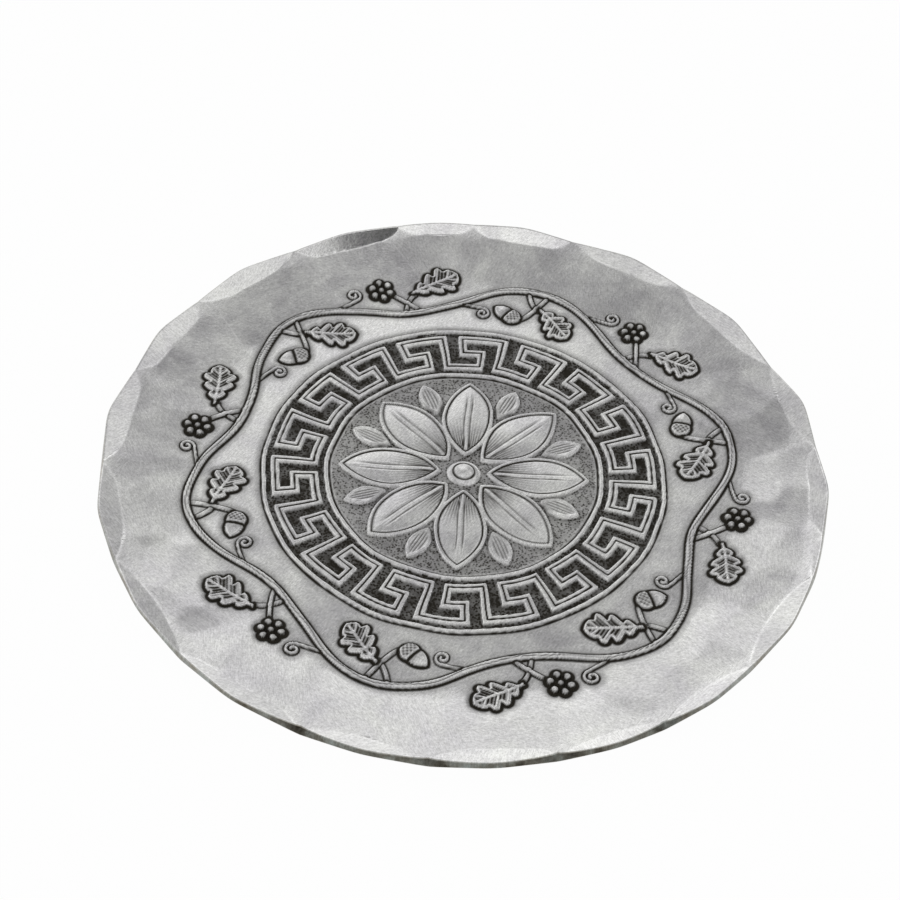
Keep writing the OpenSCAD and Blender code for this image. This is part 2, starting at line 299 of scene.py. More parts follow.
def spline(points, steps):
    """A smooth line through the points, with so many steps between each two."""
    p = np.array([points[0], *points, points[-1]], float)
    t = np.linspace(0, 1, steps, endpoint=False)[:, None]
    runs = []
    for a, b, c, d in zip(p, p[1:], p[2:], p[3:]):
        cubic = 2 * a - 5 * b + 4 * c - d + t * (3 * (b - c) + d - a)
        runs.append(b + 0.5 * t * (c - a + t * cubic))
    return [tuple(q) for q in np.vstack(runs)] + [tuple(points[-1])]


def almond_distance(x, y, length, width):
    """Signed distance to a pointed oval along x."""
    arc_r = (length * length + width * width) / (4 * width)
    return np.hypot(x, np.abs(y) + arc_r - width / 2) - arc_r


class Relief:
    """What is embossed on the sheet: its height, its moats, and where it is dark or stippled."""

    def __init__(self, x, y):
        self.x, self.y = x, y
        self.z = np.zeros_like(x)
        self.moat = np.zeros_like(x)
        self.patina = np.zeros_like(x)
        self.stipple = np.zeros_like(x)

    def near(self, x, y, reach):
        return np.nonzero((np.abs(self.x - x) < reach) & (np.abs(self.y - y) < reach))[0]

    def recess(self, at, depth, share, dark, stipple=0.0):
        """Sinks a field of the sheet and darkens it."""
        self.moat[at] = np.maximum(self.moat[at], depth * share)
        self.patina[at] = np.maximum(self.patina[at], dark * share)
        self.stipple[at] = np.maximum(self.stipple[at], stipple * share)

    def lay(self, at, d, top, dark=0.0, halo=0.85, reach=0.95, sink=MOAT_DEPTH, stipple=0.0):
        """Raises a shape, with signed distance d to its edge, and sinks a dark moat round it."""
        within = ease(EDGE_OUT, EDGE_IN, d)
        ring = fade(0.15, reach, d) * (1 - within)
        haze = HAZE_SHARE * halo * fade(0.2, HAZE_REACH, d)
        stain = np.maximum(self.patina[at], np.maximum(halo * ring, haze))
        self.moat[at] = np.maximum(self.moat[at], sink * ring) * (1 - within)
        self.patina[at] = mix(stain, dark, within)
        self.z[at] = mix(self.z[at], top, within)
        self.stipple[at] = mix(self.stipple[at], stipple, within)


def emboss_boss(relief):
    at = relief.near(0, 0, 6)
    r = np.hypot(relief.x[at], relief.y[at])
    ball_r = (BOSS_R**2 + BOSS_H**2) / (2 * BOSS_H)
    top = np.sqrt(np.maximum(ball_r**2 - r**2, 0)) - ball_r + BOSS_H
    groove = stroke(r - 0.62 * BOSS_R, 0.1, 0.34)
    relief.lay(at, r - BOSS_R + 0.1, top - 0.12 * groove, dark=0.75 * groove)


def sepal(u, v, d, length, _):
    """Height and patina of a sepal, striped lengthwise within its rim."""
    along = u / length + 0.5
    rim = ease(-1.0, -0.55, d)
    bulge = 0.1 + 0.9 * np.sqrt(np.maximum(along * (1 - along), 0))
    stripes = 0.5 + 0.5 * np.cos(TURN * (v / bulge) / 1.15)
    return RELIEF_H * (0.72 + 0.28 * rim) + 0.07 * stripes, 0.6 * (1 - stripes) * (1 - rim)


def petal(u, v, d, length, width):
    """Height and patina of a swelling petal with a midrib, two veins and a fan of lines."""
    along = u / length + 0.5
    rib = stroke(v, 0.12, 0.42) * ease(0.0, 0.12, along) * fade(0.72, 0.9, along)
    rim = ease(-1.0, -0.55, d)
    groove = stroke(d + 0.85, 0.1, 0.3)
    vein = stroke(np.abs(v) - 0.62, 0.05, 0.25) * ease(0.02, 0.14, along) * fade(0.66, 0.86, along)
    swell = 1 - np.clip(-d / (width / 2), 0, 1)
    fan = 0.5 + 0.5 * np.cos(TURN * np.arctan2(v, u + length * 0.75) / 0.05)
    shade = fade(0.12, 0.62, along + 0.2 * np.abs(v) / width) * (1 - rim) * (1 - rib)
    top = RELIEF_H * (0.62 + 0.3 * rim) + 0.14 * (1 - swell**2) + 0.1 * rib - 0.1 * groove
    dark = np.maximum(0.75 * np.maximum(groove, 0.8 * vein), (0.16 + 0.6 * fan) * shade)
    return top - 0.07 * vein - 0.05 * fan * shade, dark


def emboss_rosette(relief):
    field = RING_GAP + RING_W
    inner_ring = FRET_INNER_R - field
    at = np.nonzero(np.hypot(relief.x, relief.y) < FRET_INNER_R)[0]
    x, y = relief.x[at], relief.y[at]
    r, turn = np.hypot(x, y), np.arctan2(y, x)
    share = fade(inner_ring - 0.9, inner_ring - 0.4, r)
    relief.recess(at, ROSETTE_FIELD_DEPTH, share, ROSETTE_FIELD_PATINA, stipple=1.0)
    step = TURN / PETAL_COUNT
    for offset, length, width in (
        (0.5, SEPAL_L, SEPAL_W), (0.0, ROSETTE_R - PETAL_INNER_R, PETAL_W)
    ):
        local = (turn / step - offset + 0.5) % 1 - 0.5
        u = r * np.cos(local * step) - ROSETTE_R + length / 2
        v = r * np.sin(local * step)
        d = almond_distance(u, v, length, width)
        shape = sepal if offset else petal
        top, dark = shape(u, v, d, length, width)
        relief.lay(at, d, top, dark=dark, reach=1.1)
    for ring_r in (inner_ring, FRET_OUTER_R + RING_GAP):
        emboss_ring(relief, ring_r, RING_W)


def emboss_ring(relief, inner_r, width):
    r_all = np.hypot(relief.x, relief.y)
    at = np.nonzero(np.abs(r_all - inner_r) < WINDOW + 0.5)[0]
    off = r_all[at] - inner_r - width / 2
    d = np.abs(off) - width / 2
    relief.lay(at, d, RELIEF_H * (1 - 0.25 * (off / width) ** 2), halo=0.9, reach=0.7)


def emboss_fret(relief):
    r_all = np.hypot(relief.x, relief.y)
    at = np.nonzero((r_all > FRET_INNER_R - RING_GAP) & (r_all < FRET_OUTER_R + RING_GAP))[0]
    x, y, r = relief.x[at], relief.y[at], r_all[at]
    cell_h = (FRET_OUTER_R - FRET_INNER_R) / FRET_ROWS
    cell_w = TURN * r / (FRET_COUNT * FRET_CELLS)
    a = (np.arctan2(y, x) / TURN * FRET_COUNT * FRET_CELLS) % FRET_CELLS
    b = (r - FRET_INNER_R) / cell_h - 0.5
    relief.recess(
        at, FRET_FIELD_DEPTH, np.ones_like(r), FRET_FIELD_PATINA, stipple=FRET_FIELD_STIPPLE)
    side, core = np.full_like(r, 1e9), np.full_like(r, 1e9)
    within = np.zeros(len(r), bool)
    for n in (-1, 0, 1):
        shift = n * FRET_CELLS
        for points in FRET_SIDES:
            moved = [(p + shift, q) for p, q in points]
            side = np.minimum(side, line_distance(a, b, moved, cell_w, cell_h))
        moved = [(p + shift, q) for p, q in FRET_LINE]
        core = np.minimum(core, line_distance(a, b, moved, cell_w, cell_h))
        for (ax, ay), (bx, by) in zip(moved, moved[1:]):
            across = np.maximum(np.maximum(min(ax, bx) - a, a - max(ax, bx)), 0)
            up = np.maximum(np.maximum(min(ay, by) - b, b - max(ay, by)), 0)
            within |= np.maximum(across, up) < 0.5
    d = np.where(within, -side, side)
    groove = fade(0.08, 0.3, core)
    top = RELIEF_H - 0.16 * groove
    relief.lay(at, d + 0.08, top, dark=0.85 * groove, halo=0.95, reach=0.6)


def stem_distance(r, turn):
    off = r - WREATH_R - STEM_SWING * np.sin(WAVE_COUNT * turn)
    lean = STEM_SWING * WAVE_COUNT * np.cos(WAVE_COUNT * turn) / r
    return off / np.sqrt(1 + lean * lean)


def emboss_stem(relief):
    r_all = np.hypot(relief.x, relief.y)
    at = np.nonzero(np.abs(r_all - WREATH_R) < STEM_SWING + WINDOW)[0]
    r, turn = r_all[at], np.arctan2(relief.y[at], relief.x[at])
    off = stem_distance(r, turn)
    d = np.abs(off) - STEM_W / 2
    twist = 0.16 * np.sin(30 * turn)
    groove = stroke(off - twist, 0.04, 0.2)
    relief.lay(at, d, RELIEF_H * 0.96 - 0.12 * groove, dark=0.6 * groove, halo=0.9)


def oak_outline():
    half = [(s * LEAF_L - LEAF_L / 2, w * LEAF_W / 2) for s, w in LEAF_HALF]
    upper = spline(half, 5)
    return upper + [(u, -v) for u, v in reversed(upper[1:-1])]


OAK_OUTLINE = oak_outline()


def emboss_leaf(relief, x, y, angle, size=1.0):
    """An oak leaf whose middle is at x, y and whose tip points along the angle."""
    at = relief.near(x, y, LEAF_L * 0.75)
    u, v = turned(relief.x[at] - x, relief.y[at] - y, angle)
    u, v = u / size, v / size
    v = v + 0.35 * np.sin(u / LEAF_L * math.pi) - 0.2
    d = line_distance(u, v, OAK_OUTLINE + OAK_OUTLINE[:1])
    d = np.where(inside_outline(u, v, OAK_OUTLINE), -d, d)
    along = u / LEAF_L + 0.5
    rib = stroke(v, 0.1, 0.36) * fade(0.9, 1.0, along)
    side = np.full_like(u, 1e9)
    for (s0, w0), (s1, w1) in LEAF_VEINS:
        ends = [((s0 - 0.5) * LEAF_L, w0 * LEAF_W / 2), ((s1 - 0.5) * LEAF_L, w1 * LEAF_W / 2)]
        side = np.minimum(side, line_distance(u, np.abs(v), ends))
    vein = np.maximum(rib, 0.8 * fade(0.06, 0.3, side))
    hatch = 0.5 + 0.5 * np.sin(TURN * (u - 0.75 * np.abs(v)) / 0.8)
    rim = ease(-0.5, -0.2, d)
    cup = ease(0.0, 1.4, -d)
    top = RELIEF_H * (0.95 - 0.45 * cup) + 0.22 * vein + 0.07 * hatch * (1 - vein)
    dark = (0.5 + 0.45 * (1 - hatch)) * (1 - vein) * (1 - rim)
    relief.lay(
        at, d * size, top, dark=dark, halo=1.0, reach=1.25, sink=DEEP_MOAT_DEPTH, stipple=0.35)


def emboss_stalk(relief, points, width):
    """A thin stalk through the points that narrows a little towards its end."""
    xs, ys = [p[0] for p in points], [p[1] for p in points]
    mid = ((min(xs) + max(xs)) / 2, (min(ys) + max(ys)) / 2)
    reach = max(max(xs) - min(xs), max(ys) - min(ys)) / 2 + WINDOW
    at = relief.near(*mid, reach)
    off = line_distance(relief.x[at], relief.y[at], points)
    relief.lay(
        at, off - width / 2, RELIEF_H * 0.9 * (1 - 0.3 * (off / width) ** 2), reach=0.65)


def emboss_acorn(relief, x, y, angle):
    at = relief.near(x, y, NUT_L)
    u, v = turned(relief.x[at] - x, relief.y[at] - y, angle)
    d = almond_distance(u, v, NUT_L, NUT_W)
    swell = np.sqrt(np.clip(-d / (NUT_W / 2), 0, 1))
    moat = {"halo": 0.95, "reach": 1.1, "sink": DEEP_MOAT_DEPTH}
    shine = stroke(v - 0.35, 0.05, 0.25)
    relief.lay(at, d, RELIEF_H * (0.55 + 0.75 * swell) - 0.03 * shine, **moat)
    cup_x = -NUT_L / 4
    w = np.hypot(u - cup_x, v)
    d = np.maximum(w - CUP_D / 2, u - cup_x - 0.75)
    swell = np.sqrt(np.clip(1 - (w / (CUP_D / 2)) ** 2, 0, 1))
    lattice = 0.5 + 0.25 * (np.sin(TURN * (u + v) / 0.95) + np.sin(TURN * (u - v) / 0.95))
    lip = ease(-0.4, -0.1, d)
    top = RELIEF_H * (0.75 + 0.65 * swell) + 0.1 * lattice
    relief.lay(at, d, top, dark=0.75 * (1 - lattice) * (1 - lip), **moat)


def emboss_berries(relief, x, y, angle):
    spots = [(x, y)]
    for j in range(BERRY_COUNT):
        a = math.radians(angle + 360 / BERRY_COUNT * j)
        spots.append((x + BERRY_PITCH * math.cos(a), y + BERRY_PITCH * math.sin(a)))
    for bx, by in spots:
        at = relief.near(bx, by, WINDOW + 0.2)
        w = np.hypot(relief.x[at] - bx, relief.y[at] - by)
        d = w - BERRY_R + 0.06
        top = np.sqrt(np.maximum(BERRY_R**2 - w**2, 0)) - BERRY_SINK
        edge = ease(-0.5, -0.05, d)
        relief.lay(
            at, d, np.maximum(top, 0.05), dark=0.8 * edge, halo=1.0, reach=1.15,
            sink=DEEP_MOAT_DEPTH)


def bezier(a, b, c, steps=12):
    """A smooth line from a to c that leaves a towards b and comes into c from b."""
    t = np.linspace(0, 1, steps + 1)[:, None]
    a, b, c = np.array(a), np.array(b), np.array(c)
    return [tuple(q) for q in (1 - t) ** 2 * a + 2 * t * (1 - t) * b + t * t * c]


def emboss_tendril(relief, root, x, y, angle, hand, loops=1.3, size=1.5):
    """A thin shoot from its root to a curl round x, y, which it joins at the given angle."""
    count = 26
    curl = []
    for i in range(count + 1):
        t = i / count
        a = math.radians(angle) + hand * TURN * loops * t
        w = size * (1 - 0.76 * t)
        curl.append((x + w * math.cos(a), y + w * math.sin(a)))
    (x0, y0), (x1, y1) = curl[0], curl[1]
    back = 1.7 / math.hypot(x1 - x0, y1 - y0)
    lead = bezier(root, (x0 - (x1 - x0) * back, y0 - (y1 - y0) * back), curl[0])
    emboss_stalk(relief, lead[:-1] + curl, 0.46)


def polar(r, turn):
    return r * math.cos(math.radians(turn)), r * math.sin(math.radians(turn))


def onward(place, angle, way):
    """The point so far from the place in the direction of the angle."""
    x, y = polar(way, angle)
    return place[0] + x, place[1] + y


def stem_place(turn):
    return polar(WREATH_R + STEM_SWING * math.sin(math.radians(WAVE_COUNT * turn)), turn)


def emboss_wreath(relief, rng):
    """In each bay of the stem a leaf, a fruit and a tendril, each on its stalk."""
    leaves, fruit = [], []
    for k in range(BAY_COUNT):
        middle = (k + 0.5) * 360 / BAY_COUNT
        side = -1 if k % 2 == 0 else 1
        r = WREATH_R + side * BAY_OFFSET
        leaf_at = polar(r, middle + LEAF_TURN)
        leaf_angle = middle + LEAF_TURN - 90 + side * LEAF_LEAN + rng.uniform(-4, 4)
        base = onward(leaf_at, leaf_angle, -0.47 * LEAF_L)
        stalk = bezier(stem_place(middle + LEAF_ROOT), onward(base, leaf_angle, -2.2), base)
        emboss_stalk(relief, stalk, STALK_W * 0.8)
        leaves.append((*leaf_at, leaf_angle, rng.uniform(0.96, 1.04)))
        fruit_at, fruit_angle = polar(r, middle + FRUIT_TURN), middle + FRUIT_TURN
        if side < 0:
            fruit_angle += 90 - NUT_LEAN
            end = onward(fruit_at, fruit_angle, -0.45 * NUT_L)
            bow = onward(end, fruit_angle, -1.6)
        else:
            end, bow = fruit_at, polar(r - 1.6, middle + FRUIT_TURN - 3.2)
        emboss_stalk(relief, bezier(stem_place(middle + FRUIT_ROOT), bow, end), STALK_W * 0.8)
        fruit.append((emboss_acorn if side < 0 else emboss_berries, *fruit_at, fruit_angle))
        curl_turn = middle + CURL_TURN
        curl_at = polar(WREATH_R + side * CURL_OFFSET, curl_turn)
        curl_angle = curl_turn + (0 if side < 0 else 180)
        emboss_tendril(relief, stem_place(middle + TENDRIL_ROOT), *curl_at, curl_angle, side)
    emboss_stem(relief)
    for leaf in leaves:
        emboss_leaf(relief, *leaf)
    for emboss, x, y, angle in fruit:
        emboss(relief, x, y, angle)


def embossing(x, y, rng):
    """All of the relief at the places x, y. A slight wander keeps its lines hand-drawn."""
    wander_x = 0.13 * np.sin(x / 2.9 + 0.6 * np.sin(y / 4.3)) + 0.1 * np.sin(y / 1.9 + 1.0)
    wander_y = 0.13 * np.sin(y / 3.3 + 0.7 * np.sin(x / 3.9)) + 0.1 * np.sin(x / 2.2 + 2.0)
    relief = Relief(x + wander_x, y + wander_y)
    emboss_rosette(relief)
    emboss_fret(relief)
    emboss_boss(relief)
    emboss_wreath(relief, rng)
    return relief


# ---------------------------------------------------------------- the hammered sheet


def shoulder_z(r):
    return SHOULDER_RISE * (np.maximum(r - FLOOR_R, 0) / SHOULDER_W) ** 2


def shoulder_slope(r):
    return math.atan(2 * SHOULDER_RISE * (r - FLOOR_R) / SHOULDER_W**2)


def flats(ends):
    """Middle and half width, in radians, of each flat between the given angles."""
    spans = zip(ends, ends[1:] + [ends[0] + 360])
    return [(math.radians(a + b) / 2, math.radians(b - a) / 2) for a, b in spans]


def sheet_height(x, y, thinning=0.0):
    """Height of the sheet's face over the floor, the flat there, and how near its seam is."""
    z = highest = second = shoulder_z(np.hypot(x, y))
    flat = np.zeros(np.shape(x), int)
    for i, (middle, _) in enumerate(flats(CREASES)):
        out = x * math.cos(middle) + y * math.sin(middle)
        r = FLOOR_R + SHOULDER_PLACE_SHARE[i] * SHOULDER_W
        level = shoulder_z(r) + SHOULDER_FLAT_DEPTH * SHOULDER_DEPTH_SHARE[i]
        plane = level + math.tan(shoulder_slope(r)) * (out - r)
        flat = np.where(plane > highest, i + 1, flat)
        second = np.maximum(second, np.minimum(plane, highest))
        highest = np.maximum(highest, plane)
        z = soft_max(z, plane, SHOULDER_CREASE)
    # A crease between two shoulder flats counts as a fainter seam than one at a rim flat, and so
    # gets a fainter painted highlight
    seam = 0.24 + 20 * (highest - second) + (flat == 0)
    cusp_r = COASTER_R - RIM_CUSP_INSET
    for i, (middle, half) in enumerate(flats(CUSPS)):
        out = x * math.cos(middle) + y * math.sin(middle)
        thinned = thinning * (1 - 0.55 * in_front(middle))
        tilt = math.radians(RIM_FLAT_TILT * RIM_TILT_SHARE[i] + thinned)
        slope = shoulder_slope(COASTER_R) + tilt
        plane = shoulder_z(cusp_r) + math.tan(slope) * (out - cusp_r * math.cos(half))
        on_flat = plane > highest
        flat = np.where(on_flat, FIRST_RIM_FLAT + i, flat)
        lift = math.tan(slope) - math.tan(shoulder_slope(cusp_r - 2))
        off = np.abs(plane - highest) / lift
        seam = np.where(on_flat, off, np.minimum(seam, off))
        highest = np.maximum(highest, plane)
        z = soft_max(z, plane, RIM_CREASE)
    return z, flat, seam


def blows(rng, spacing, reach):
    """Places of hammer blows in rough rings over a disc."""
    places = []
    for k in range(int(reach / spacing) + 1):
        count = max(1, round(TURN * k))
        for j in range(count):
            a = TURN * (j + rng.uniform(0.2, 0.8)) / count + k
            r = spacing * (k + rng.uniform(-0.25, 0.25))
            places.append((r * math.cos(a), r * math.sin(a)))
    return places


def planished(x, y, places, spacing, depth):
    """Shallow dishes left by blows, with soft ridges between them."""
    curve = depth / (spacing / 2) ** 2
    lowest = np.full(np.shape(x), 1e3)
    for px, py in places:
        dish = curve * ((x - px) ** 2 + (y - py) ** 2)
        lowest = -soft_max(-lowest, -dish, depth * 0.5)
    return lowest - depth / 2


def outline_reach(turn):
    """Distance from the axis to the hammered outline, with its corners eased, and its middle."""
    points = []
    for cusp, (middle, _), near, far in zip(CUSPS, flats(CUSPS), CUSP_REACH, MIDDLE_REACH):
        for angle, share in ((math.radians(cusp), near), (middle, far)):
            r = COASTER_R * share
            points.append((r * math.cos(angle), r * math.sin(angle)))
    points = np.array(points)
    mid = (points.min(axis=0) + points.max(axis=0)) / 2
    count = 3600
    fine = np.arange(count) * TURN / count
    way = np.stack([np.cos(fine), np.sin(fine)], axis=1)
    reach = np.zeros(count)
    for a, b in zip(points, np.roll(points, -1, axis=0)):
        start, end = math.atan2(a[1], a[0]), math.atan2(b[1], b[0])
        run = b - a
        across = way[:, 0] * run[1] - way[:, 1] * run[0]
        here = (fine - start) % TURN <= (end - start) % TURN
        reach = np.where(here, (a[0] * run[1] - a[1] * run[0]) / across, reach)
    width = 15
    kernel = np.exp(-0.5 * (np.arange(-3 * width, 3 * width + 1) / width) ** 2)
    padded = np.concatenate([reach[-3 * width:], reach, reach[:3 * width]])
    eased = np.convolve(padded, kernel / kernel.sum(), "valid") - CORNER_EASING
    return np.interp(turn % TURN, np.append(fine, TURN), np.append(eased, eased[0])), mid


def in_front(turn):
    """1 on the side where the rim was struck hardest, 0 on the other sides."""
    degrees = np.degrees(turn) % 360
    return ease(225, 248, degrees) * (1 - ease(300, 322, degrees))


def notch_depth(turn):
    """How far the upper edge stands back from the lower one: most at the cusps in front."""
    degrees = np.degrees(turn) % 360
    depth = np.zeros_like(degrees)
    for middle, half in flats(CUSPS):
        off = np.abs((degrees - math.degrees(middle) + 180) % 360 - 180) / math.degrees(half)
        depth = np.where(off <= 1, off**3, depth)
    front = in_front(turn)
    return depth * (CUSP_NOTCH + FRONT_CUSP_NOTCH * front) + FRONT_NOTCH * front


def disc_grid(n):
    """Square grid of 2n + 1 points a side, bent into a disc: share of the radius, and angle."""
    line = np.linspace(-1, 1, 2 * n + 1)
    gx, gy = np.meshgrid(line, line)
    wide = np.abs(gx) >= np.abs(gy)
    with np.errstate(divide="ignore", invalid="ignore"):
        turn = np.where(wide, TURN / 8 * gy / gx, TURN / 4 - TURN / 8 * gx / gy)
    turn[n, n] = 0
    longer = np.where(wide, gx, gy)
    return np.abs(longer).ravel(), (turn + np.where(longer < 0, TURN / 2, 0)).ravel()


def rim_indices(n):
    """Indices of the grid's outermost points, counterclockwise from its lower left corner."""
    side = 2 * n + 1
    grid = np.arange(side * side).reshape(side, side)
    return np.concatenate([grid[0, :-1], grid[:-1, -1], grid[-1, :0:-1], grid[:0:-1, 0]])


def grid_faces(n, start, flip):
    side = 2 * n + 1
    grid = np.arange(side * side).reshape(side, side) + start
    corners = [grid[:-1, :-1], grid[:-1, 1:], grid[1:, 1:], grid[1:, :-1]]
    if flip:
        corners.reverse()
    return np.stack([c.ravel() for c in corners], axis=1)


def softened(values, side, reach):
    """The grid's values averaged over so many cells each way, twice."""
    v = values.reshape(side, side)
    for _ in range(2):
        for axis in (0, 1):
            pad = [(0, 0), (0, 0)]
            pad[axis] = (reach + 1, reach)
            total = np.cumsum(np.pad(v, pad, mode="edge"), axis=axis)
            size = v.shape[axis]
            ahead = np.take(total, np.arange(size) + 2 * reach + 1, axis=axis)
            behind = np.take(total, np.arange(size), axis=axis)
            v = (ahead - behind) / (2 * reach + 1)
    return v.ravel()


def foot_places():
    step = FOOT_CIRCLE_D / 2 * math.sqrt(0.5)
    return {
        f"foot_{depth}_{side}": (x, y)
        for depth, y in (("front", -step), ("back", step))
        for side, x in (("left", -step), ("right", step))}


def make_mesh(name, points, quads, triangles, masks):
    mesh = bpy.data.meshes.new(name)
    loops = np.concatenate([quads.ravel(), triangles.ravel()]).astype(np.int32)
    sizes = np.concatenate([np.full(len(quads), 4), np.full(len(triangles), 3)])
    starts = np.concatenate([[0], np.cumsum(sizes)[:-1]]).astype(np.int32)
    mesh.vertices.add(len(points))
    mesh.vertices.foreach_set("co", (points * MM).astype(np.float32).ravel())
    mesh.loops.add(len(loops))
    mesh.loops.foreach_set("vertex_index", loops)
    mesh.polygons.add(len(sizes))
    mesh.polygons.foreach_set("loop_start", starts)
    mesh.update(calc_edges=True)
    for key, values in masks.items():
        mask = mesh.attributes.new(key, "FLOAT", "POINT")
        mask.data.foreach_set("value", values.astype(np.float32))
    mesh.shade_smooth()
    if mesh.validate():
        raise RuntimeError("the sheet's mesh had faulty faces")
    return mesh


def sorted_pair(turns, values):
    """The two lists in order of angle, closed over a full turn, for interpolation."""
    order = np.argsort(turns)
    t, v = turns[order], values[order]
    closed = np.concatenate([[t[-1] - TURN], t, [t[0] + TURN]])
    return closed, np.concatenate([[v[-1]], v, [v[0]]])


def unit(v):
    return v / np.hypot(v[0], v[1])


def edge_rings(turn, rim_reach, upper, lower, soft):
    """The edge from the face round to the underside: each ring and how much it is a cut edge.

    The edge is cut square to the sheet, so its lower corner reaches farthest out. A ring is its
    distances from the axis and its heights.
    """
    lean = shoulder_slope(COASTER_R) + math.radians(RIM_FLAT_TILT)
    low_z = lower(rim_reach)
    thick = np.full(len(turn), SHEET_T)
    back_step = notch_depth(turn)
    for _ in range(4):
        high_r = rim_reach - thick * math.sin(lean) - back_step
        high_z = upper(high_r)
        thick = (high_z - low_z) / math.cos(lean)
    low, high = np.stack([rim_reach, low_z]), np.stack([high_r, high_z])
    # The run over which the slope of either face is taken
    step = 0.4
    run = np.full(len(turn), step)
    on_top = unit(np.stack([run, high_z - upper(high_r - step)]))
    on_back = unit(np.stack([run, low_z - lower(rim_reach - step)]))
    down = unit(low - high)
    low_soft = 0.8 * soft
    parts = [k / ROUNDING_STEPS for k in range(ROUNDING_STEPS + 1)]
    quarter = [(TURN / 4 * part, part) for part in parts]
    middle = high - soft * on_top + soft * down
    rings = [
        (middle - soft * down * math.cos(a) + soft * on_top * math.sin(a), part)
        for a, part in quarter]
    start, end = high + soft * down, low - low_soft * down
    rings += [(mix(start, end, k / 3), 1.0) for k in (1, 2)]
    middle = low - low_soft * down - low_soft * on_back
    return rings + [
        (middle + low_soft * on_back * math.cos(a) + low_soft * down * math.sin(a), 1 - part)
        for a, part in quarter]


def underside(n, relief_z, places, back_rim):
    """The underside's coarser grid and its patina: an echo of the relief, plain at the bumpers."""
    side = 2 * n + 1
    ghost = softened(relief_z, side, 4).reshape(side, -1)[::BACK_STEP, ::BACK_STEP].ravel()
    share, turn = disc_grid(n // BACK_STEP)
    scale = np.interp(turn % TURN, *back_rim)
    x, y = share * scale * np.cos(turn), share * scale * np.sin(turn)
    plain = fade(0.97, 1.0, share)
    for fx, fy in foot_places().values():
        plain *= ease(FOOT_D / 2, FOOT_D / 2 + 3, np.hypot(x - fx, y - fy))
    marks = planished(x, y, places, BACK_SPACING, BACK_MARK_DEPTH)
    z = sheet_height(x, y, RIM_THINNING_TILT)[0] - SHEET_T
    z = z + plain * (BACK_ECHO * ghost + marks + BACK_LIFT)
    return x, y, z, 0.25 * ghost / RELIEF_H * plain


def sheet_faces(n, rim, starts):
    """Faces of the upper grid, of the edge's rings and of the underside's coarser grid."""
    count, coarse = len(rim), n // BACK_STEP
    loop = np.arange(count)
    ahead = (loop + 1) % count
    quads = [grid_faces(n, 0, False), grid_faces(coarse, starts[-1], True)]
    above = rim
    for start in starts[1:-1]:
        quads.append(np.stack([above[loop], start + loop, start + ahead, above[ahead]], axis=1))
        above = start + loop
    c0 = rim_indices(coarse) + starts[-1]
    c1 = np.roll(c0, -1)
    first = BACK_STEP * np.arange(len(c0))
    fine = [above[(first + j) % count] for j in range(BACK_STEP + 1)]
    fan = [(fine[j], c0 if j < 2 else c1, fine[j + 1]) for j in range(BACK_STEP)]
    fan.insert(2, (fine[2], c0, c1))
    triangles = np.concatenate([np.stack(t, axis=1) for t in fan])
    return np.concatenate(quads), triangles


